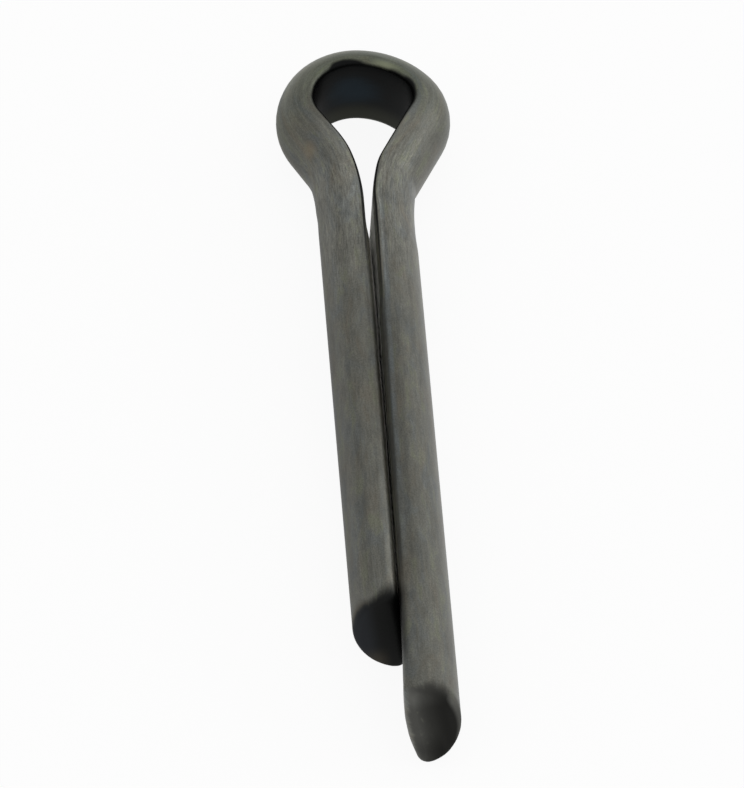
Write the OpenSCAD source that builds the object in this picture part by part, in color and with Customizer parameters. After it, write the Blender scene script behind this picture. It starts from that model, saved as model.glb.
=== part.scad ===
// Split cotter pin, 4 x 20: one length of D-section wire folded flat side to flat side.
// Millimetres. The shank lies along Y with the eye at +Y, and the loop lies in the XY plane.
// The short leg is at -X and the long leg at +X. The origin is on the shank axis at the upper end
// of the round shank, where the back of the long leg starts to bend.

/* [Shank] */

// Diameter over both closed legs
shank_diameter = 3.6; // [3.2:0.05:3.9]

// Slot left between the two flat sides
leg_gap = 0.3; // [0.1:0.05:0.6]

// Hole that the pin is sold for, whose rim stops the eye
hole_diameter = 4; // [3.95:0.05:4.4]

// Length from the rim of that hole to the end of the short leg
nominal_length = 20; // [10:0.5:50]

// How far the long leg runs past the short one
long_leg_extra = 4.1; // [0.5:0.1:8]

// Lean of the cropped ends, with the lower edge forward
crop_angle = 15; // [0:1:30]

/* [Wire] */

// Wall of the wire round the eye, drawn thinner than in the legs
eye_wall = 1.46; // [1.2:0.02:1.6]

// Rounding along both edges of the flat side
edge_radius = 0.22; // [0.1:0.02:0.34]

/* [Neck] */

// Angle by which the short leg's side opens from the shank axis
left_neck_angle = 33; // [28:0.5:38]

// Angle by which the long leg's side opens from the shank axis
right_neck_angle = 38; // [33:0.5:43]

// Bend radius of the flat side in the short leg's neck; the other neck's closes the loop
left_neck_radius = 7.9; // [6:0.1:9.5]

/* [Eye] */

// Inside radius of the eye on the short leg's side
left_radius = 1.52; // [1.3:0.02:1.8]

// Bend on that radius, in degrees
left_bend = 112; // [95:1:125]

// Inside radius over the crown of the eye
crown_radius = 2.12; // [1.9:0.02:2.6]

// Bend on that radius, in degrees
crown_bend = 76; // [60:1:90]

// Inside radius of the eye on the long leg's side
right_radius = 1.26; // [1:0.02:1.6]

/* [Hidden] */

steel = [0.38, 0.38, 0.36];
wire_radius = shank_diameter / 2;
half_gap = leg_gap / 2;
clear = wire_radius;
// The section's circle sits this far inside the flat side round the eye
eye_offset = wire_radius - eye_wall;

// Height at which the flat side starts to round off, for a round that meets the back at edge_blend
edge_blend = 25;
edge_reach = wire_radius * wire_radius + edge_radius * edge_radius
    - 2 * wire_radius * edge_radius * cos(edge_blend);
flat_half = sqrt(edge_reach - (edge_radius + half_gap) * (edge_radius + half_gap));

// Directions in which the arcs of the eye start, clockwise from the short leg
right_bend = 180 + left_neck_angle + right_neck_angle - left_bend - crown_bend;
left_start = 180 + left_neck_angle;
crown_start = left_start - left_bend;
right_start = crown_start - crown_bend;

// Across the mouth of the eye, from the end of one neck to the end of the other
span = (left_radius - crown_radius) * dir(crown_start) + (crown_radius - right_radius) * dir(right_start)
    - left_radius * dir(left_start) + right_radius * dir(-right_neck_angle);
left_neck_reach = left_neck_radius * (1 - cos(left_neck_angle));
right_neck_radius = (span[0] - leg_gap - left_neck_reach) / (1 - cos(right_neck_angle));

// The round back bends on a smaller radius than the flat side, which draws the wire thinner
left_back_radius = left_neck_radius - draw_in(left_neck_angle);
right_back_radius = right_neck_radius - draw_in(right_neck_angle);
right_low = lead(right_neck_angle);
right_mouth = [half_gap + right_neck_radius * (1 - cos(right_neck_angle)),
    right_low + right_neck_radius * sin(right_neck_angle)];
left_mouth = right_mouth - span;
left_low = left_mouth[1] - left_neck_radius * sin(left_neck_angle);
left_rise = left_low - lead(left_neck_angle);

// Arc centres
left_centre = left_mouth - left_radius * dir(left_start);
crown_centre = left_centre + (left_radius - crown_radius) * dir(crown_start);
right_centre = crown_centre + (crown_radius - right_radius) * dir(right_start);

// The eye stops where both necks together have grown to the hole
left_growth = 0.5 / (left_back_radius - wire_radius);
right_growth = 0.5 / (right_back_radius - wire_radius);
growth = left_growth + right_growth;
middle_rise = left_growth * left_rise / growth;
seat_rise = middle_rise + sqrt(middle_rise * middle_rise
    - (left_growth * left_rise * left_rise + shank_diameter - hole_diameter) / growth);
short_leg = nominal_length - seat_rise;
long_leg = short_leg + long_leg_extra;

// A unit vector at an angle in the XY plane
function dir(a) = [cos(a), sin(a)];
// How much smaller the back's neck radius is than the flat side's, so that both end in one plane
function draw_in(angle) = (eye_offset * cos(angle) - half_gap) / (1 - cos(angle));
// Where the flat side starts to bend, against where the round back does
function lead(angle) = -sin(angle) * (eye_offset + draw_in(angle));

// Moves in two steps, because the exported tree keeps six digits and arcs have to meet exactly
module place(x, y = 0) {
    near_x = round(x * 100) / 100;
    near_y = round(y * 100) / 100;
    translate([near_x, near_y])
        translate([x - near_x, y - near_y])
            children();
}

// Half-round section of the wire, with the round back towards +X
module back_section() {
    intersection() {
        circle(r = wire_radius, $fn = 48);
        translate([half_gap / 2, -clear - wire_radius])
            square([clear + wire_radius, 2 * (clear + wire_radius)]);
    }
}

// What the flat side leaves open: a space this deep, flared over the rounded edges
module open_section(depth) {
    difference() {
        translate([-depth, -clear - wire_radius])
            square([depth + edge_radius, 2 * (clear + wire_radius)]);
        translate([0, -flat_half])
            square([2 * edge_radius, 2 * flat_half]);
        for (side = [-1, 1])
            translate([edge_radius, side * flat_half])
                circle(r = edge_radius, $fn = 24);
    }
}

// Sweeps a section along Y, from below the end of a leg up to y
module run_up_to(y, leg) {
    place(0, y)
        rotate([90, 0, 0])
            linear_extrude(height = ceil(y + leg + 2 * clear))
                children();
}

// Sweeps a section clockwise round a vertical axis, from one direction through an angle
module bend_round(x, y, start, bend) {
    place(x, y)
        rotate_extrude(angle = bend, start = start - bend, $fn = 96)
            children();
}

// Round back of one side, from past the crop up to the mouth of the eye
module side_back(leg, rise, radius, angle) {
    run_up_to(rise, leg)
        back_section();
    bend_round(radius, rise, 180, angle)
        place(radius)
            mirror([1, 0])
                back_section();
}

// Round back of the eye on one radius
module eye_back(centre, radius, start, bend) {
    bend_round(centre[0], centre[1], start, bend)
        place(radius - eye_offset)
            back_section();
}

// Space before the flat side of one leg and its neck, which bends from height low
module side_space(low, radius, angle) {
    run_up_to(low, long_leg)
        place(half_gap)
            open_section(1.5 * half_gap);
    bend_round(half_gap + radius, low, 180, angle)
        place(radius)
            mirror([1, 0])
                open_section(1.5 * half_gap);
}

// Space inside the eye on one radius
module eye_space(centre, radius, start, bend) {
    bend_round(centre[0], centre[1], start, bend)
        place(radius)
            open_section(radius - half_gap);
}

// Middle of the keyhole, which the flat sides' own spaces ring
module keyhole_core() {
    translate([0, 0, -clear - wire_radius])
        linear_extrude(height = 2 * (clear + wire_radius))
            difference() {
                polygon([
                    [half_gap / 3, right_low - clear],
                    [half_gap / 3, right_low],
                    right_mouth + half_gap / 2 * dir(180 - right_neck_angle),
                    right_centre + right_radius / 2 * dir(right_start - right_bend / 2),
                    crown_centre + crown_radius / 2 * dir(crown_start - crown_bend / 2),
                    left_centre + left_radius / 2 * dir(left_start - left_bend / 2),
                    left_mouth + half_gap / 2 * dir(left_neck_angle),
                    [-half_gap / 3, left_low],
                    [-half_gap / 3, right_low - clear]
                ]);
                translate([half_gap + right_neck_radius, right_low])
                    circle(r = right_neck_radius + half_gap / 2, $fn = 180);
                translate([-half_gap - left_neck_radius, left_low])
                    circle(r = left_neck_radius + half_gap / 2, $fn = 180);
            }
}

// Everything on the waste side of a crop across the +X leg
module crop(leg) {
    translate([0, -leg, 0])
        rotate([-crop_angle, 0, 0])
            translate([0, -4 * clear, -2 * clear])
                cube([2 * clear, 4 * clear, 4 * clear]);
}

module cotter_pin() {
    color(steel)
        difference() {
            union() {
                side_back(long_leg, 0, right_back_radius, right_neck_angle);
                mirror([1, 0, 0])
                    side_back(short_leg, left_rise, left_back_radius, left_neck_angle);
                eye_back(left_centre, left_radius, left_start, left_bend);
                eye_back(crown_centre, crown_radius, crown_start, crown_bend);
                eye_back(right_centre, right_radius, right_start, right_bend);
            }
            union() {
                side_space(right_low, right_neck_radius, right_neck_angle);
                mirror([1, 0, 0])
                    side_space(left_low, left_neck_radius, left_neck_angle);
                eye_space(left_centre, left_radius, left_start, left_bend);
                eye_space(crown_centre, crown_radius, crown_start, crown_bend);
                eye_space(right_centre, right_radius, right_start, right_bend);
                keyhole_core();
            }
            crop(long_leg);
            mirror([1, 0, 0])
                crop(short_leg);
        }
}

cotter_pin();
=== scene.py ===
import math

import bmesh
import bpy
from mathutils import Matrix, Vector


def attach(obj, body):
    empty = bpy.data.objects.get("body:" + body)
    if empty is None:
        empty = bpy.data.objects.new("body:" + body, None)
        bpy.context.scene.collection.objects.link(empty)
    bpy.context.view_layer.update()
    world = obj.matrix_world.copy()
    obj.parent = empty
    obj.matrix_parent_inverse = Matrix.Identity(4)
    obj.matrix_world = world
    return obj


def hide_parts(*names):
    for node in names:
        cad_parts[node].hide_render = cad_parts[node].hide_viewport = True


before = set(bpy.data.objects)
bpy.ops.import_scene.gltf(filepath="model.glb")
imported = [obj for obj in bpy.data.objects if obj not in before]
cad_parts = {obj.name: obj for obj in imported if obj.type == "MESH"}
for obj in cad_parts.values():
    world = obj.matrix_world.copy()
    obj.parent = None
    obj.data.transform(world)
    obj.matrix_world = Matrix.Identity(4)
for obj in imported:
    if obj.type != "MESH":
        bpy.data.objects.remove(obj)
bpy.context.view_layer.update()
print("frame loaded")

mm = 0.001
scene = bpy.context.scene


def clearSelection():
    if bpy.context.object and bpy.context.object.mode != 'OBJECT':
        bpy.ops.object.mode_set(mode='OBJECT')
    bpy.ops.object.select_all(action='DESELECT')


def pickOnly(obj):
    clearSelection()
    obj.select_set(True)
    bpy.context.view_layer.objects.active = obj


def pickEdges(obj, test):
    # selects the edges whose two ends pass the test, given in millimetres, in edit mode
    bpy.ops.mesh.select_all(action='DESELECT')
    bpy.ops.mesh.select_mode(type='EDGE')
    shape = bmesh.from_edit_mesh(obj.data)
    for edge in shape.edges:
        if all(test(vert.co / mm) for vert in edge.verts):
            edge.select_set(True)
    bmesh.update_edit_mesh(obj.data)


def pickVerts(obj, test):
    # the same for points
    bpy.ops.mesh.select_all(action='DESELECT')
    bpy.ops.mesh.select_mode(type='VERT')
    shape = bmesh.from_edit_mesh(obj.data)
    for vert in shape.verts:
        vert.select_set(test(vert.co / mm))
    bmesh.update_edit_mesh(obj.data)


bends = {                      # the line that the flat side follows, in millimetres and degrees
    "crown": (0.006, 6.691),
    "crownTilt": -4.734,
    "step": 0.05,              # spacing of the line's points
    # from the crown down: arcs of the eye and the neck as radius and angle, a straight flank
    # between them, and how low the leg ends
    "short": {"turn": 1, "eye": ((1.654, 42.856), (1.41, 57.676), (1.399, 25.063)), "flank": 1.184,
              "neck": ((4.418, 15.332), (8.656, 15.061)), "end": -18.264},
    "long": {"turn": -1, "eye": ((2.444, 49.51), (1.05, 64.834), (1.311, 0.624)), "flank": 2.43,
             "neck": ((2.712, 16.145), (11.936, 13.71)), "end": -22.414},
}


def followSide(side):
    # walks along the flat side from the crown down to one end of the wire
    place = Vector((*bends["crown"], 0))
    heading = math.radians(bends["crownTilt"] + (180 if side["turn"] > 0 else 0))
    points, walked, marks = [place.copy()], 0, []
    stretches = [(radius, angle, side["turn"]) for radius, angle in side["eye"]]
    stretches += [(None, side["flank"], 0)]
    stretches += [(radius, angle, -side["turn"]) for radius, angle in side["neck"]]
    for radius, amount, turn in stretches:
        if turn == 0:
            ahead = Vector((math.cos(heading), math.sin(heading), 0))
            count = max(2, round(amount / bends["step"]))
            points += [place + ahead * amount * i / count for i in range(1, count + 1)]
            walked += amount
        else:
            sweep = math.radians(amount)
            centre = place + Vector((-math.sin(heading), math.cos(heading), 0)) * radius * turn
            arm = place - centre
            count = max(2, round(radius * sweep / bends["step"]))
            for i in range(1, count + 1):
                c, s = math.cos(turn * sweep * i / count), math.sin(turn * sweep * i / count)
                points.append(centre + Vector((arm.x * c - arm.y * s, arm.x * s + arm.y * c, 0)))
            heading += turn * sweep
            walked += radius * sweep
        place = points[-1].copy()
        marks.append(walked)
    ahead = Vector((math.cos(heading), math.sin(heading), 0))
    length = (side["end"] - place.y) / ahead.y
    count = round(length / bends["step"])
    points += [place + ahead * length * i / count for i in range(1, count + 1)]
    return points, {"eye": marks[len(side["eye"]) - 1], "neck": marks[-1], "end": walked + length}


shortPoints, shortMarks = followSide(bends["short"])
longPoints, longMarks = followSide(bends["long"])
linePoints = shortPoints[::-1] + longPoints[1:]
crown, wireLength = shortMarks["end"], shortMarks["end"] + longMarks["end"]

clearSelection()
lineData = bpy.data.curves.new("bendLine", 'CURVE')
lineData.dimensions = '2D'
lineData.use_path = True
lineData.use_stretch = False
lineData.use_deform_bounds = False
lineData.use_radius = False
spline = lineData.splines.new('POLY')
spline.points.add(len(linePoints) - 1)
for linePoint, point in zip(spline.points, linePoints):
    linePoint.co = (point.x * mm, point.y * mm, 0, 1)
bendLine = bpy.data.objects.new("bendLine", lineData)
scene.collection.objects.link(bendLine)
print("bend line", len(linePoints), "points,", round(wireLength, 2), "mm")


wire = {                       # the straight wire, in millimetres and degrees
    "backRadius": 1.8,
    "flatIn": 0.15,            # from the centre of the round back to the flat side
    "roundSteps": 72,
    "roundFrom": 0.396,        # the round back's own points start this far from the flat side
    "edgeRound": 0.36,
    "edgeSteps": 6,
    "flatSteps": 8,
    "onFlat": 0.001,           # a point closer than this to the flat side's plane lies on it
    "legRing": 0.4,            # spacing of the rings in the legs
    "endRing": 0.2,            # near the ends
    "bendRing": 0.15,          # and in the bends
    "bendMargin": 1,           # the bends' rings run on this far past the necks
    "leastRing": 0.05,         # no ring stands closer than this to the last rim
    "legWall": 1.744,
    "crownWall": 1.434,
    "shortWalls": (1.425, 1.573, 1.724),    # side of the eye, middle of the neck, foot of the neck
    "longWalls": (1.413, 1.486, 1.668),
    "wallShifts": (-0.3, -1, 0.3),          # of the last two places, and of the leg's wall from the foot
    "eyeSide": 0.6,            # the side of the eye, as a share of the way from the crown to its end
    "crownRoll": -0.1,         # a roll turns the upper edge towards the flat side
    "shortRolls": (0.2, 0.5, -1.0, -6.0),   # side of the eye, its end, foot of the neck, end
    "longRolls": (-2.5, 0.8, -3.95, 4.2, 9.5),    # the same, with one more before the last stretch
    "lastStretch": 5,
    "eyeHeight": 0.986,        # the wire is a little lower where it is bent
    "shortCrop": 12.2,         # lean of the cropped ends, lower edge forward
    "longCrop": 17.8,
    "cropFades": 3,            # the rings stand upright this far from an end
    "rim": 0.33,               # rounding of the ends' rims
    "rimSteps": 6,
    "smoothAngle": 40,
    # soft pushes: where along is counted from, what is picked along, outward and up, the shift,
    # and how far it takes the steel along
    "pushes": (
        # the flat side swells just above both cropped ends
        ("shortEnd", (0.5, 1.1), (-1, 0.4), (-0.7, 0), (0, -0.06, 0), 1.9),
        ("longEnd", (0.5, 1.1), (-1, 0.4), (-0.7, 0), (0, -0.2, 0), 1.9),
        # the short leg's flat side bulges into the slot, most of all just below the neck
        ("shortLeg", (9.3, 24), (-1, 0.1), (0.1, 1), (0, -0.055, 0), 1),
        ("shortLeg", (9.3, 19), (-1, 0.1), (0.1, 1), (0, -0.03, 0), 1),
        ("shortLeg", (9.3, 14), (-1, 0.1), (0.1, 1), (0, -0.035, 0), 1),
        # the long leg's upper edge is set back where the legs meet
        ("longLeg", (8.6, 12.6), (-1, 0.15), (1.45, 9), (0, 0.07, 0), 1.2),
        # the long end's lowest corner is blunt
        ("longEnd", (-9, 0), (-1, 0.5), (-9, -1.45), (-0.08, 0, 0), 1),
    ),
}


def smooth(t):
    t = min(max(t, 0), 1)
    return t * t * (3 - 2 * t)


def between(x, places, values):
    if x <= places[0]:
        return values[0]
    for i in range(1, len(places)):
        if x <= places[i]:
            t = (x - places[i - 1]) / (places[i] - places[i - 1])
            return values[i - 1] + (values[i] - values[i - 1]) * t
    return values[-1]


def sectionAt(s):
    # wall, height, rim inset, roll and lean of the section at a distance from the short leg's end
    isShort = s < crown
    marks = shortMarks if isShort else longMarks
    walls = wire["shortWalls"] if isShort else wire["longWalls"]
    rolls = wire["shortRolls"] if isShort else wire["longRolls"]
    fromCrown, fromEnd = abs(s - crown), min(s, wireLength - s)
    eyeSide, neckMiddle = marks["eye"] * wire["eyeSide"], (marks["eye"] + marks["neck"]) / 2
    middleShift, footShift, legShift = wire["wallShifts"]
    wall = between(fromCrown, (0, eyeSide, neckMiddle + middleShift, marks["neck"] + footShift,
                               marks["neck"] + legShift), (wire["crownWall"], *walls, wire["legWall"]))
    height = between(fromCrown, (marks["eye"], marks["neck"]), (wire["eyeHeight"], 1))
    turns = (0, eyeSide, marks["eye"], marks["neck"], marks["end"])
    if not isShort:
        turns = (*turns[:4], marks["end"] - wire["lastStretch"], marks["end"])
    roll = between(fromCrown, turns, (wire["crownRoll"], *rolls))
    inset = 0
    if fromEnd < wire["rim"]:
        inset = wire["rim"] - math.sqrt(wire["rim"] ** 2 - (wire["rim"] - fromEnd) ** 2)
    lean = (wire["shortCrop"] if isShort else -wire["longCrop"]) * smooth(1 - fromEnd / wire["cropFades"])
    return wall, height, inset, roll, lean


def ringPlaces():
    # a quarter round at each end, close rings near it and in the bends, wide ones in the legs
    rim = [wire["rim"] * (1 - math.cos(math.radians(90 * i / wire["rimSteps"])))
           for i in range(wire["rimSteps"] + 1)]
    bendFrom = crown - shortMarks["neck"] - wire["bendMargin"]
    bendTo = crown + longMarks["neck"] + wire["bendMargin"]
    places = list(rim)
    while places[-1] < wireLength - wire["rim"]:
        s = places[-1]
        if bendFrom < s < bendTo:
            places.append(s + wire["bendRing"])
        elif min(s, wireLength - s) < wire["lastStretch"]:
            places.append(s + wire["endRing"])
        else:
            places.append(s + wire["legRing"])
    while places[-1] > wireLength - wire["rim"] - wire["leastRing"]:
        places.pop()
    return places + [wireLength - r for r in reversed(rim)]


def reshape(s, old, new):
    # stands the free end's section upright, sizes it and turns it again
    (wall, height, inset, roll, lean), (newWall, newHeight, newInset, newRoll, newLean) = old, new
    half, x = wire["backRadius"], s * mm
    pivot = (x, -wire["flatIn"] * mm, 0)
    if lean:
        bpy.ops.transform.rotate(value=math.radians(lean), orient_axis='Y', center_override=pivot)
        slim = math.cos(math.radians(lean))
        bpy.ops.transform.resize(value=(slim, 1, slim), center_override=pivot)
    bpy.ops.transform.rotate(value=math.radians(roll), orient_axis='X', center_override=pivot)
    if newInset != inset:
        across = (newWall - 2 * newInset) / (wall - 2 * inset)
        up = (half - newInset) / (half - inset)
        bpy.ops.transform.resize(value=(1, across, up), center_override=(x, newWall / 2 * mm, 0))
    elif newWall != wall or newHeight != height:
        bpy.ops.transform.resize(value=(1, newWall / wall, newHeight / height), center_override=(x, 0, 0))
    bpy.ops.transform.rotate(value=math.radians(-newRoll), orient_axis='X', center_override=pivot)
    if newLean:
        bpy.ops.transform.rotate(value=math.radians(-newLean), orient_axis='Y', center_override=pivot)
        grow = 1 / math.cos(math.radians(newLean))
        bpy.ops.transform.resize(value=(grow, 1, grow), center_override=pivot)


def pushSteel(bar, start, along, outward, up, shift, reach):
    countFrom = {"shortEnd": lambda x: x, "longEnd": lambda x: wireLength - x,
                 "shortLeg": lambda x: crown - x, "longLeg": lambda x: x - crown}[start]
    pickVerts(bar, lambda p: along[0] < countFrom(p.x) < along[1]
              and outward[0] < p.y < outward[1] and up[0] < p.z < up[1])
    bpy.ops.transform.translate(value=[c * mm for c in shift], use_proportional_edit=True,
                                proportional_edit_falloff='SMOOTH', proportional_size=reach * mm)


def drawWire():
    clearSelection()
    bpy.ops.mesh.primitive_circle_add(vertices=wire["roundSteps"], radius=wire["backRadius"] * mm,
                                      fill_type='NGON', location=(0, -wire["flatIn"] * mm, 0),
                                      rotation=(0, math.radians(90), 0))
    bar = bpy.context.object
    bar.name = "cotterPinWire"
    bpy.ops.object.transform_apply(location=True, rotation=True, scale=True)
    bpy.ops.object.mode_set(mode='EDIT')

    # half of the circle goes, and the two edges of the flat side are rounded
    bpy.ops.mesh.select_all(action='SELECT')
    bpy.ops.mesh.bisect(plane_co=(0, 0, 0), plane_no=(0, 1, 0), clear_inner=True, threshold=1e-7)
    pickVerts(bar, lambda p: wire["onFlat"] < p.y < wire["roundFrom"])
    bpy.ops.mesh.dissolve_verts()
    pickVerts(bar, lambda p: abs(p.y) < wire["onFlat"])
    bpy.ops.mesh.bevel(offset=wire["edgeRound"] * mm, segments=wire["edgeSteps"], affect='VERTICES')
    pickEdges(bar, lambda p: abs(p.y) < wire["onFlat"])
    bpy.ops.mesh.subdivide(number_cuts=wire["flatSteps"])

    # each extrusion copies this place on the section, so the steel's pattern can follow the wire
    bpy.ops.object.mode_set(mode='OBJECT')
    sectionPlace = bar.data.attributes.new("wirePlace", 'FLOAT_VECTOR', 'POINT')
    for vert, value in zip(bar.data.vertices, sectionPlace.data):
        value.vector = vert.co / mm
    bpy.ops.object.mode_set(mode='EDIT')
    bpy.ops.mesh.select_all(action='SELECT')
    bpy.ops.mesh.select_mode(type='FACE')

    places = ringPlaces()
    drawn = (wire["backRadius"] - wire["flatIn"], 1, 0, 0, 0)
    plain = (wire["legWall"], 1, 0, 0, 0)
    reshape(places[0], drawn, plain)
    state = sectionAt(places[0])
    reshape(places[0], plain, state)
    for last, s in zip(places, places[1:]):
        bpy.ops.mesh.extrude_region_move(TRANSFORM_OT_translate={"value": ((s - last) * mm, 0, 0)})
        reshape(s, state, sectionAt(s))
        state = sectionAt(s)

    for push in wire["pushes"]:
        pushSteel(bar, *push)
    bpy.ops.mesh.select_all(action='SELECT')
    bpy.ops.mesh.normals_make_consistent(inside=False)
    bpy.ops.object.mode_set(mode='OBJECT')
    return bar


pinWire = drawWire()
print("straight wire", len(pinWire.data.polygons), "faces")

# how far along the wire a point is, and how far behind the nearer cropped face, kept before the bending
behindEnd = pinWire.data.attributes.new("behindEnd", 'FLOAT', 'POINT')
for vert, wirePlace, endDepth in zip(pinWire.data.vertices, pinWire.data.attributes["wirePlace"].data,
                                     behindEnd.data):
    x, y, z = vert.co / mm
    wirePlace.vector = (x, *wirePlace.vector[1:])
    endDepth.value = min(x - z * math.tan(math.radians(wire["shortCrop"])),
                         wireLength - x - z * math.tan(math.radians(wire["longCrop"])))

bend = pinWire.modifiers.new("bend", 'CURVE')
bend.object = bendLine
bend.deform_axis = 'POS_X'
pickOnly(pinWire)
bpy.ops.object.modifier_apply(modifier="bend")
bpy.data.objects.remove(bendLine)
bpy.ops.object.mode_set(mode='EDIT')
bpy.ops.mesh.select_all(action='SELECT')
bpy.ops.mesh.normals_make_consistent(inside=False)
bpy.ops.object.mode_set(mode='OBJECT')
bpy.ops.object.shade_smooth_by_angle(angle=math.radians(wire["smoothAngle"]))
pinPoints = [vert.co for vert in pinWire.data.vertices]
print("wire box", [[round(f(p[i] for p in pinPoints) / mm, 3) for i in range(3)] for f in (min, max)])


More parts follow.
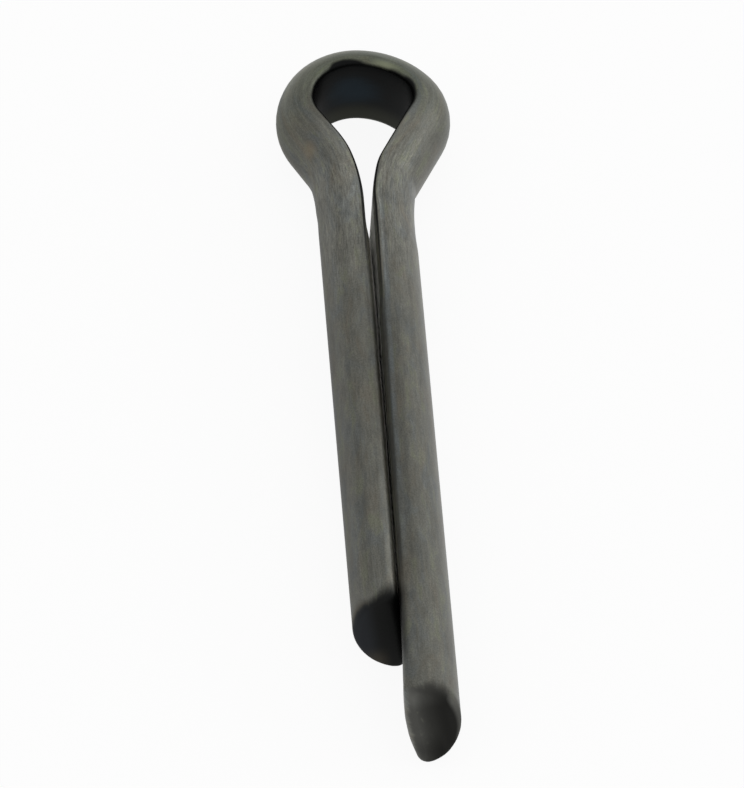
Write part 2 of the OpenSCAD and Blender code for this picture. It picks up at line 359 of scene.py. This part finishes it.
steelLook = {                  # sizes in millimetres, along the wire from the short leg's end
    # linear colours
    "plain": (0.13, 0.13, 0.114),
    "brown": (0.137, 0.128, 0.105),
    "olive": (0.13, 0.135, 0.102),
    "blue": (0.116, 0.127, 0.128),
    "slot": (0.9, 0.9, 0.87),               # painted light on the flat sides that lie against each other in the slot
    "black": (0.011, 0.0115, 0.0115),       # painted shade: inside of the eye, then its middle and its foot; black also paints the shade by the slot and beyond the short leg
    "blueBlack": (0.0145, 0.0205, 0.0255),
    "greyBlack": (0.026, 0.027, 0.022),
    "cropBlack": (0.0165, 0.017, 0.0165),   # painted shade on the short cropped end, then its back
    "cropBlue": (0.027, 0.029, 0.032),
    "paintedShade": (1, 1, 0.92),                   # painted shade on the long cropped end, times its brightness in longFace
    "halo": (0.085, 0.073, 0.054),          # brown round the black ends
    "rust": (0.19, 0.15, 0.1),
    # a painted highlight, olive-tinted, on the top of the eye
    "oliveHighlight": (0.235, 0.25, 0.17),
    "crownTone": (0.98, 1.045, 0.94),       # the top of the eye is a little greener
    "bareTint": (1, 1, 1),
    "dullTint": (0.65, 0.65, 0.65),         # gloss at a low angle where shade is painted on the eye and the ends

    # patterns: size along, outward and up, then detail, roughness and distortion
    "streaks": ((1.3, 0.12, 0.12), 6, 0.65, 0.3),
    "grain": ((0.055, 0.055, 0.055), 3, 0.7, 0),
    "scratches": ((0.4, 0.05, 0.05), 3, 0.6, 0),
    "clouds": ((1.9, 0.75, 0.75), 4, 0.6, 0.8),
    "smallClouds": ((1.045, 0.4125, 0.4125), 4, 0.6, 0.5),
    "raggedness": 0.25,
    "raggedOutward": 0.4,                   # share of it that shifts an edge outward
    "raggedSpots": 2,

    # spots: middle, reach, softness and strength
    "rustSpot": ((22.05, 1.25, 1.1), (0.6, 0.4, 0.6), 1, 0.5),
    "oliveHighlightSpot": ((27.4, 0.14, 1.68), (0.7, 0.26, 0.4), 0.9, 0.8),
    "blueSpot": ((26.194, 0, 0.1), (1.5, 9, 1.15), 0.8, 1),

    # soft lines: how far the painted shade of the eye reaches out over the rounded edge, painted light and
    # shade from the flat side outward on the short and the long leg, and the same on the long cropped face
    "blackReach": ((18.5, 0.05), (22, 0.09), (23.4, 0.13), (24.2, 0.09), (25.2, 0.08), (25.6, 0.22),
                   (26, 0.2), (26.5, 0.11), (26.9, 0.02), (27.3, 0.02), (27.7, 0.08), (28.2, 0.1),
                   (28.8, 0.19), (29.6, 0.18), (31, 0.08), (34, 0.06)),
    "shortAcross": ((0, 1.6), (0.04, 1.5), (0.1, 0.74), (0.25, 1.06), (0.55, 1.12), (0.9, 0.9),
                    (1.45, 0.9), (1.8, 0.6)),
    "longAcross": ((0, 1.6), (0.03, 1.5), (0.09, 0.36), (0.14, 0.36), (0.26, 0.86), (0.5, 0.8),
                   (0.75, 0.93), (1.4, 1.04), (1.8, 1.3)),
    "longFace": ((0, 0.082), (0.2, 0.064), (0.5, 0.043), (0.87, 0.03), (1.2, 0.0215), (1.45, 0.02),
                 (1.8, 0.025)),

    # bands: starts, full, full no more, gone
    "bothLegs": (0.5, 1.5, 51, 53),         # along
    "stripAlong": (33, 36, 47, 51.5),
    "neckBand": (2.4, 4.2, 6.5, 9.5),       # either way from the crown
    "narrowStretch": (6.6, 8.8, 11, 14),
    "broadStretch": (8, 9.5, 12, 16),
    "neckGlowBand": (4.5, 7, 9, 14),
    "eyeSideBand": (1.8, 3, 3.5, 5),
    "scratchBand": (3.5, 6.5, 9, 14),
    "lineStretch": (2.5, 4, 9, 12.5),
    "stripOutward": (0.12, 0.2, 0.3, 0.42),    # outward
    "narrowBand": (0.08, 0.12, 0.13, 0.3),
    "broadBand": (0.2, 0.33, 0.45, 0.7),
    "lineBand": (0.03, 0.055, 0.09, 0.12),
    "rimDepth": (-0.02, 0.13, 0.3, 0.5),    # behind the cropped face
    "haloBand": (0.25, 0.5, 0.8, 1.1),      # the same, as a share of where the black ends

    # ramps: from, to, and the values there
    "brownClouds": (0.5, 0.68, 0, 0.8),     # patterns
    "blueClouds": (0.5, 0.34, 0, 0.5),
    "oliveClouds": (0.52, 0.68, 0, 0.8),
    "stripClouds": (0.35, 0.65, 0.35, 0.95),
    "streakShade": (0.28, 0.72, 0.88, 1.12),
    "grainShade": (0.25, 0.75, 0.8, 1.2),
    "cloudShade": (0.3, 0.7, 0.87, 1.11),
    "beyondShort": (51.5, 52.5, 0, 1),      # along
    "legsFrom": (5, 8.5, 0, 1),             # either way from the crown
    "belowEye": (4.5, 8, 0, 1),
    "eyeEnds": (5.4, 8.4, 1, 0),
    "lowerPart": (16, 24, 0, 1),
    "crownToneEnds": (1, 4, 1, 0),
    "neckInside": (0.4, 0.9, 0.4, 0),       # outward
    "offTheEdge": (0.05, 0.15, 0, 1),
    "bySlot": (0.12, 0.35, 1, 0),
    "flatSide": (0.004, 0.02, 1, 0),
    "eyeWall": (0.005, 0.03, 1, 0),
    "eyeEdge": (-0.07, 0.09, 1, 0),         # past the black's reach
    "shadowBeyondShort": (0.04, 0.4, 0.85, 0),
    "dullBack": (1.1, 1.6, 0, 1),
    "belowUpperEdge": (1.15, 1.4, 1, 0),    # up
    "eyeFoot": (-0.45, -1.3, 0, 1),
    "offTheTip": (0.5, 2.1, 0, 1),          # behind the cropped face
    "shortBlack": (0.3, 0.9, 0.75, 0.42),   # how deep the painted shade of an end goes, outward
    "shortBlackBack": (0.9, 1.4, 0, 0.4),
    "longBlack": (0.2, 1.3, 0.12, 0.75),
    "longBlackFoot": (-0.6, -1.2, 0.12, 0.5),    # and up
    "blackEnds": (0.1, 1, 1, 0),            # as a share of that depth
    "shortBlue": (0.6, 1.5, 0, 1),          # the short face, outward
    "shortRimOut": (0.2, 1.2, 0, 1),
    "shortRimLow": (-0.5, -1.5, 0, 0.5),    # and up
    "longTop": (0.8, 1.5, 0, 0.5),          # the long face, up
    "longFoot": (-0.2, -1.4, 0, 0.42),
    "longFootOut": (0.8, 1.2, 1, 0),        # and outward
    "rimBack": (1.25, 1.55, 0, 1),
    "rimFlat": (0.02, 0.15, 1, 0),
    "rimEdge": (1.62, 1.8, 0, 0.085),       # from the middle of the round back
    "rimFlatDepth": (0, 0.22, 0, 0.04),     # behind the face
    "haloBack": (0.8, 1.3, 0, 0.8),
    "haloSides": (0, 1, 1, 0.2),            # on the short and the long side

    # single strengths
    "sideBlend": 0.3,                       # the two sides blend this far either way from the crown
    "narrowBoost": 2,
    "broadBoost": 0.25,
    "neckGlow": 0.2,
    "eyeSideShade": 0.1,
    "scratchDepth": 1.6,
    "lineStrength": 0.85,
    "roughness": 0.36,
    "streakRoughness": 0.12,                # added by the streaks
    "endRoughness": 0.15,                   # and by the torn ends
    "bumpStrength": 0.5,
    "streakHeight": 0.003,
    "grainHeight": 0.003,
}

# steel colour with painted light and shade on the legs, necks, slot, eye and cropped ends
steel = bpy.data.materials.new("steelWithPaintedShade")
steel.use_nodes = True
steelNodes, steelLinks = steel.node_tree.nodes, steel.node_tree.links


def add(kind, label, **settings):
    node = steelNodes.new(kind)
    node.label = label
    for name, value in settings.items():
        setattr(node, name, value)
    return node


def feed(node, inputs):
    # links or sets the inputs with these names or numbers
    for key, value in inputs.items():
        if isinstance(value, bpy.types.NodeSocket):
            steelLinks.new(value, node.inputs[key])
        else:
            node.inputs[key].default_value = value
    return node


def combine(kind, a, b, label):
    node = add('ShaderNodeMath', label, operation=kind)
    return feed(node, {0: a, 1: b}).outputs[0]


def both(a, b, label):
    return combine('MULTIPLY', a, b, label)


def brighter(light, amount, label):
    return both(light, combine('ADD', 1, amount, label), label)


def mix(factor, a, b, label):
    return feed(add('ShaderNodeMix', label), {0: factor, 2: a, 3: b}).outputs[0]


def blend(factor, a, b, label, kind='MIX'):
    node = add('ShaderNodeMix', label, data_type='RGBA', blend_type=kind)
    return feed(node, {0: factor, 6: a, 7: b}).outputs[2]


def span(value, low, high, toLow, toHigh, label):
    node = add('ShaderNodeMapRange', label, interpolation_type='SMOOTHSTEP')
    return feed(node, {"Value": value, "From Min": low, "From Max": high,
                       "To Min": toLow, "To Max": toHigh}).outputs[0]


def ramp(value, name):
    return span(value, *steelLook[name], name)


def band(value, name):
    starts, full, fullTo, gone = steelLook[name]
    return both(span(value, starts, full, 0, 1, name), span(value, fullTo, gone, 1, 0, name), name)


def pattern(name):
    size, detail, rough, distort = steelLook[name]
    mapping = feed(add('ShaderNodeMapping', name), {"Vector": place, "Scale": [1 / c for c in size]})
    noise = feed(add('ShaderNodeTexNoise', name), {
        "Vector": mapping.outputs[0], "Scale": 1, "Detail": detail, "Roughness": rough, "Distortion": distort})
    return noise.outputs["Fac"]


def softLine(value, name):
    # a soft line through the points kept under this name
    marks = steelLook[name]
    low, high, top = marks[0][0], marks[-1][0], max(y for x, y in marks)
    node = add('ShaderNodeFloatCurve', name)
    line = node.mapping.curves[0]
    line.points[1].location = (1, marks[-1][1] / top)
    line.points[0].location = (0, marks[0][1] / top)
    for x, y in marks[1:-1]:
        line.points.new((x - low) / (high - low), y / top)
    node.mapping.update()
    share = feed(add('ShaderNodeMapRange', name), {"Value": value, "From Min": low, "From Max": high})
    return both(feed(node, {"Value": share.outputs[0]}).outputs[0], top, name)


def spot(name):
    # full in the middle, falling to 0 at the ragged rim of an oval
    middle, reach, soft, strength = steelLook[name]
    offset = feed(add('ShaderNodeVectorMath', name, operation='MULTIPLY_ADD'),
                  {0: place, 1: [1 / c for c in reach], 2: [-m / c for m, c in zip(middle, reach)]})
    length = feed(add('ShaderNodeVectorMath', name, operation='LENGTH'), {0: offset.outputs[0]})
    distance = combine('ADD', length.outputs["Value"], both(ragged, steelLook["raggedSpots"], name), name)
    return both(span(distance, 1 - soft, 1, 1, 0, name), strength, name)


def colour(name):
    return (*steelLook[name], 1)


place = add('ShaderNodeAttribute', "place on the wire", attribute_name="wirePlace").outputs["Vector"]
depth = add('ShaderNodeAttribute', "behind the cropped face", attribute_name="behindEnd").outputs["Fac"]
along, outward, up = feed(add('ShaderNodeSeparateXYZ', "along, outward, up"), {"Vector": place}).outputs

streaks, grain, scratches = pattern("streaks"), pattern("grain"), pattern("scratches")
clouds, smallClouds = pattern("clouds"), pattern("smallClouds")
ragged = both(combine('SUBTRACT', smallClouds, 0.5, "centred"), steelLook["raggedness"], "ragged")
raggedOutward = combine('ADD', outward, both(ragged, steelLook["raggedOutward"], "a little"), "ragged outward")

# where along the wire the eye and the two legs are
fromCrown = combine('ABSOLUTE', combine('SUBTRACT', along, crown, "from the crown"), 0, "either way")
isLong = span(along, crown - steelLook["sideBlend"], crown + steelLook["sideBlend"], 0, 1, "long side")
isShort = span(isLong, 0, 1, 1, 0, "short side")
necks = band(fromCrown, "neckBand")
bothLegs = band(along, "bothLegs")
lapped = both(bothLegs, ramp(fromCrown, "legsFrom"), "lying together")


def plainSteel():
    # brown, blue and olive clouds, and a blue strip beside the slot
    shade = colour("plain")
    for name, noise in (("brown", clouds), ("blue", clouds), ("olive", smallClouds)):
        shade = blend(ramp(noise, name + "Clouds"), shade, colour(name), name)
    strip = both(both(band(outward, "stripOutward"), isLong, "on the long leg"),
                 band(along, "stripAlong"), "below the neck")
    strip = both(strip, ramp(smallClouds, "stripClouds"), "uneven strip")
    return blend(strip, shade, colour("blue"), "beside the slot")


def lightAndDark():
    # painted light and shade across the legs, inside the necks, beside the slot, on the lower edge and at the
    # eye, times the steel's own streaks, grain, clouds and scratches
    # painted light and shade across the legs
    across = mix(isLong, softLine(outward, "shortAcross"), softLine(outward, "longAcross"), "across")
    light = mix(lapped, 1, across, "legs only")
    # painted light inside the necks
    inside = both(ramp(outward, "neckInside"), necks, "inside the necks")
    light = brighter(light, both(inside, ramp(outward, "offTheEdge"), "off the edge"), "lighter necks")

    # painted light beside the line on the long leg
    narrow = both(band(outward, "narrowBand"), band(fromCrown, "narrowStretch"), "where the legs meet")
    broad = both(band(outward, "broadBand"), band(fromCrown, "broadStretch"), "a little lower")
    beside = combine('ADD', both(narrow, steelLook["narrowBoost"], "narrow"),
                     both(broad, steelLook["broadBoost"], "broad"), "beside the line")
    light = brighter(light, both(beside, isLong, "on the long leg"), "lighter beside the line")
    # painted light on the short leg's lower edge by the slot
    lower = both(both(ramp(outward, "bySlot"), isShort, "on the short leg"),
                 both(ramp(fromCrown, "lowerPart"), lapped, "lower down"), "lower edge")
    light = brighter(light, lower, "lighter lower edge")

    light = both(light, ramp(streaks, "streakShade"), "streaked")
    light = both(light, ramp(grain, "grainShade"), "grained")
    light = both(light, ramp(smallClouds, "cloudShade"), "clouded")

    # painted light on the necks and painted shade on the short side of the eye; the scratches are the steel's
    # own
    glow = both(band(fromCrown, "neckGlowBand"), steelLook["neckGlow"], "lighter necks")
    sides = both(both(band(fromCrown, "eyeSideBand"), isShort, "short side of the eye"),
                 steelLook["eyeSideShade"], "darker side")
    rubs = both(combine('SUBTRACT', scratches, 0.5, "centred"),
                both(band(fromCrown, "scratchBand"), steelLook["scratchDepth"], "how deep"), "scratches")
    change = combine('ADD', combine('SUBTRACT', glow, sides, "lighter and darker"), rubs, "and scratched")
    return brighter(light, change, "scratched")


def paintSlot(shade):
    # painted light on the flat sides in the slot, painted shade as the dark line beside it, and a painted
    # shadow on the edge beyond the short leg
    # painted light: a near-white colour on the deep flat sides, so the slot is less dark
    slotWall = both(both(ramp(outward, "flatSide"), ramp(up, "belowUpperEdge"), "deep flat side"),
                    both(bothLegs, ramp(fromCrown, "belowEye"), "along the slot"), "slot wall")
    shade = blend(slotWall, shade, colour("slot"), "slot")
    # painted shade: a dark line beside the slot
    line = both(band(outward, "lineBand"), band(fromCrown, "lineStretch"), "line beside the slot")
    shade = blend(both(line, steelLook["lineStrength"], "thin line"), shade, colour("black"), "dark line")
    # painted shadow on the long leg's edge beyond the short leg's end
    beyond = both(ramp(along, "beyondShort"), ramp(depth, "offTheTip"), "beyond the short leg")
    return blend(both(ramp(outward, "shadowBeyondShort"), beyond, "painted shadow on the edge"), shade, colour("black"), "dark edge")


def paintEye(shade):
    # painted shade inside the eye: black on the wall and over its rounded edge, bluish in the middle, grey at
    # the foot
    pastBlack = combine('SUBTRACT', raggedOutward, softLine(along, "blackReach"), "past the black")
    inside = combine('MAXIMUM', ramp(pastBlack, "eyeEdge"), ramp(outward, "eyeWall"), "wall and edge")
    inside = both(inside, ramp(fromCrown, "eyeEnds"), "inside of the eye")
    wall = blend(spot("blueSpot"), colour("black"), colour("blueBlack"), "blue middle")
    wall = blend(ramp(up, "eyeFoot"), wall, colour("greyBlack"), "grey foot")
    return blend(inside, shade, wall, "black eye"), inside


def paintShortFace():
    # painted shade on the short cropped face, bluish at its back, brown on its lower rim
    face = blend(ramp(outward, "shortBlue"), colour("cropBlack"), colour("cropBlue"), "blue back")
    rim = both(ramp(up, "shortRimLow"), ramp(outward, "shortRimOut"), "lower rim")
    return blend(rim, face, colour("halo"), "worn lower rim")


def paintLongFace():
    # painted shade, lighter on its flat half, at its top and round its rims
    face = brighter(softLine(raggedOutward, "longFace"), ramp(up, "longTop"), "lighter at the top")
    low = both(ramp(up, "longFoot"), ramp(outward, "longFootOut"), "foot")
    face = both(face, combine('SUBTRACT', 1, low, "less"), "darker foot")
    outFromMiddle = combine('ADD', outward, wire["flatIn"], "from the middle outward")
    squares = combine('ADD', both(outFromMiddle, outFromMiddle, "squared"), both(up, up, "squared"), "sum")
    rimEdge = ramp(combine('POWER', squares, 0.5, "from the middle"), "rimEdge")
    backRim = both(both(rimEdge, ramp(outward, "rimBack"), "back rim"), band(depth, "rimDepth"), "at the face")
    flatRim = both(ramp(depth, "rimFlatDepth"), ramp(outward, "rimFlat"), "flat rim")
    face = combine('ADD', combine('MAXIMUM', face, backRim, "bright back rim"), flatRim, "both rims")
    return blend(1, colour("paintedShade"), face, "paintedShade", 'MULTIPLY')


def paintEnds(shade):
    # painted shade on the cropped ends: that of the short end fades slowly at its back, that of the long end
    # at its foot
    shortDepth = combine('ADD', ramp(outward, "shortBlack"), ramp(outward, "shortBlackBack"), "short black")
    longDepth = combine('MAXIMUM', ramp(outward, "longBlack"), ramp(up, "longBlackFoot"), "long black")
    share = combine('DIVIDE', combine('ADD', depth, ragged, "ragged depth"),
                    mix(isLong, shortDepth, longDepth, "how deep"), "share of the depth")
    cropped = ramp(share, "blackEnds")
    face = blend(isLong, paintShortFace(), paintLongFace(), "cropped face")
    halo = both(band(share, "haloBand"), ramp(outward, "haloBack"), "round the black")
    face = blend(both(halo, ramp(isLong, "haloSides"), "halo"), face, colour("halo"), "brown halo")
    return blend(cropped, shade, face, "black ends"), cropped


shade = blend(1, plainSteel(), lightAndDark(), "light and dark", 'MULTIPLY')
shade = blend(ramp(fromCrown, "crownToneEnds"), shade, colour("crownTone"), "top of the eye", 'MULTIPLY')
shade = blend(spot("rustSpot"), shade, colour("rust"), "rust")
# a painted highlight, olive-tinted, on the top of the eye
shade = blend(spot("oliveHighlightSpot"), shade, colour("oliveHighlight"), "painted olive highlight")
shade = paintSlot(shade)
shade, eyeBlack = paintEye(shade)
shade, cropped = paintEnds(shade)

rough = both(streaks, steelLook["streakRoughness"], "by streaks")
rough = combine('ADD', steelLook["roughness"], rough, "roughness")
rough = combine('ADD', rough, both(cropped, steelLook["endRoughness"], "torn ends"), "rougher ends")
# duller gloss at a low angle where shade is painted and on the back of the short leg
dull = combine('MAXIMUM', both(ramp(outward, "dullBack"), isShort, "back of the short leg"),
               combine('MAXIMUM', eyeBlack, cropped, "where shade is painted"), "dull")
tint = blend(dull, colour("bareTint"), colour("dullTint"), "gloss")
grainBump = feed(add('ShaderNodeBump', "grain"), {
    "Strength": steelLook["bumpStrength"], "Distance": steelLook["grainHeight"] * mm, "Height": grain})
streakBump = feed(add('ShaderNodeBump', "streaks"), {
    "Strength": steelLook["bumpStrength"], "Distance": steelLook["streakHeight"] * mm, "Height": streaks,
    "Normal": grainBump.outputs[0]})
feed(steelNodes["Principled BSDF"], {"Base Color": shade, "Metallic": 1, "Roughness": rough,
                                     "Specular Tint": tint, "Normal": streakBump.outputs[0]})
pinWire.data.materials.append(steel)
print("steel", len(steelNodes), "nodes")

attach(pinWire, "root")
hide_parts("cotter_pin")


floorLook = {
    "size": 2,                 # metres
    "white": (0.9, 0.9, 0.9),
    "roughness": 0.8,
    "ownLight": 0.92,          # share of its white that is shown straight to the camera and in the metal
}

clearSelection()
bpy.ops.mesh.primitive_plane_add(size=floorLook["size"], location=(0, 0, min(p.z for p in pinPoints)))
paleFloor = bpy.context.object
paleFloor.name = "paleFloor"


def makeFloorPaint():
    # pale paint that keeps the shadow
    paint = bpy.data.materials.new("paleFloor")
    paint.use_nodes = True
    nodes, links = paint.node_tree.nodes, paint.node_tree.links
    shader = nodes["Principled BSDF"]
    shader.inputs["Base Color"].default_value = (*floorLook["white"], 1)
    shader.inputs["Roughness"].default_value = floorLook["roughness"]
    shader.inputs["Specular IOR Level"].default_value = 0
    rays = nodes.new('ShaderNodeLightPath')
    seen = rays.outputs["Is Camera Ray"]
    for other in ("Is Glossy Ray", "Is Transmission Ray"):
        either = nodes.new('ShaderNodeMath')
        either.operation = 'MAXIMUM'
        links.new(seen, either.inputs[0])
        links.new(rays.outputs[other], either.inputs[1])
        seen = either.outputs[0]
    share = nodes.new('ShaderNodeMath')
    share.operation = 'MULTIPLY'
    share.inputs[1].default_value = floorLook["ownLight"]
    links.new(seen, share.inputs[0])
    white = nodes.new('ShaderNodeEmission')
    white.inputs["Strength"].default_value = 1
    mixed = nodes.new('ShaderNodeMixShader')
    links.new(share.outputs[0], mixed.inputs[0])
    links.new(shader.outputs[0], mixed.inputs[1])
    links.new(white.outputs[0], mixed.inputs[2])
    links.new(mixed.outputs[0], nodes["Material Output"].inputs["Surface"])
    return paint


paleFloor.data.materials.append(makeFloorPaint())
print("floor laid")


studio = {                     # metres and watts
    "world": 0.8,
    "softRight": {"place": (0.391, 0, 0.083), "size": 0.3, "power": 0.36},
    "softBack": {"place": (0.3, 0.251, 0.083), "size": 0.3, "power": 0.09},
}

world = bpy.data.worlds.new("studio")
scene.world = world
world.use_nodes = True
world.node_tree.nodes["Background"].inputs["Color"].default_value = (1, 1, 1, 1)
world.node_tree.nodes["Background"].inputs["Strength"].default_value = studio["world"]
for name in ("softRight", "softBack"):
    lamp = studio[name]
    lampData = bpy.data.lights.new(name, 'AREA')
    lampData.shape = 'SQUARE'
    lampData.size = lamp["size"]
    lampData.energy = lamp["power"]
    softLamp = bpy.data.objects.new(name, lampData)
    softLamp.location = lamp["place"]
    softLamp.rotation_euler = (-softLamp.location).to_track_quat('-Z', 'Y').to_euler()
    scene.collection.objects.link(softLamp)
print("lamps hung")


view = {
    "place": (-7.3239, -124.709, 152.8741),    # millimetres, then degrees
    "turn": (37.47371, 0.20204, -3.67452),
    "sensor": 36,
    "lens": 257.764,
    "clip": (0.01, 10),                        # metres
}

cameraData = bpy.data.cameras.new("camera")
cameraData.sensor_fit = 'HORIZONTAL'
cameraData.sensor_width = view["sensor"]
cameraData.lens = view["lens"]
cameraData.clip_start, cameraData.clip_end = view["clip"]
camera = bpy.data.objects.new("camera", cameraData)
camera.location = [c * mm for c in view["place"]]
camera.rotation_euler = [math.radians(c) for c in view["turn"]]
scene.collection.objects.link(camera)
scene.camera = camera
scene.view_settings.view_transform = 'Standard'
print("camera set")
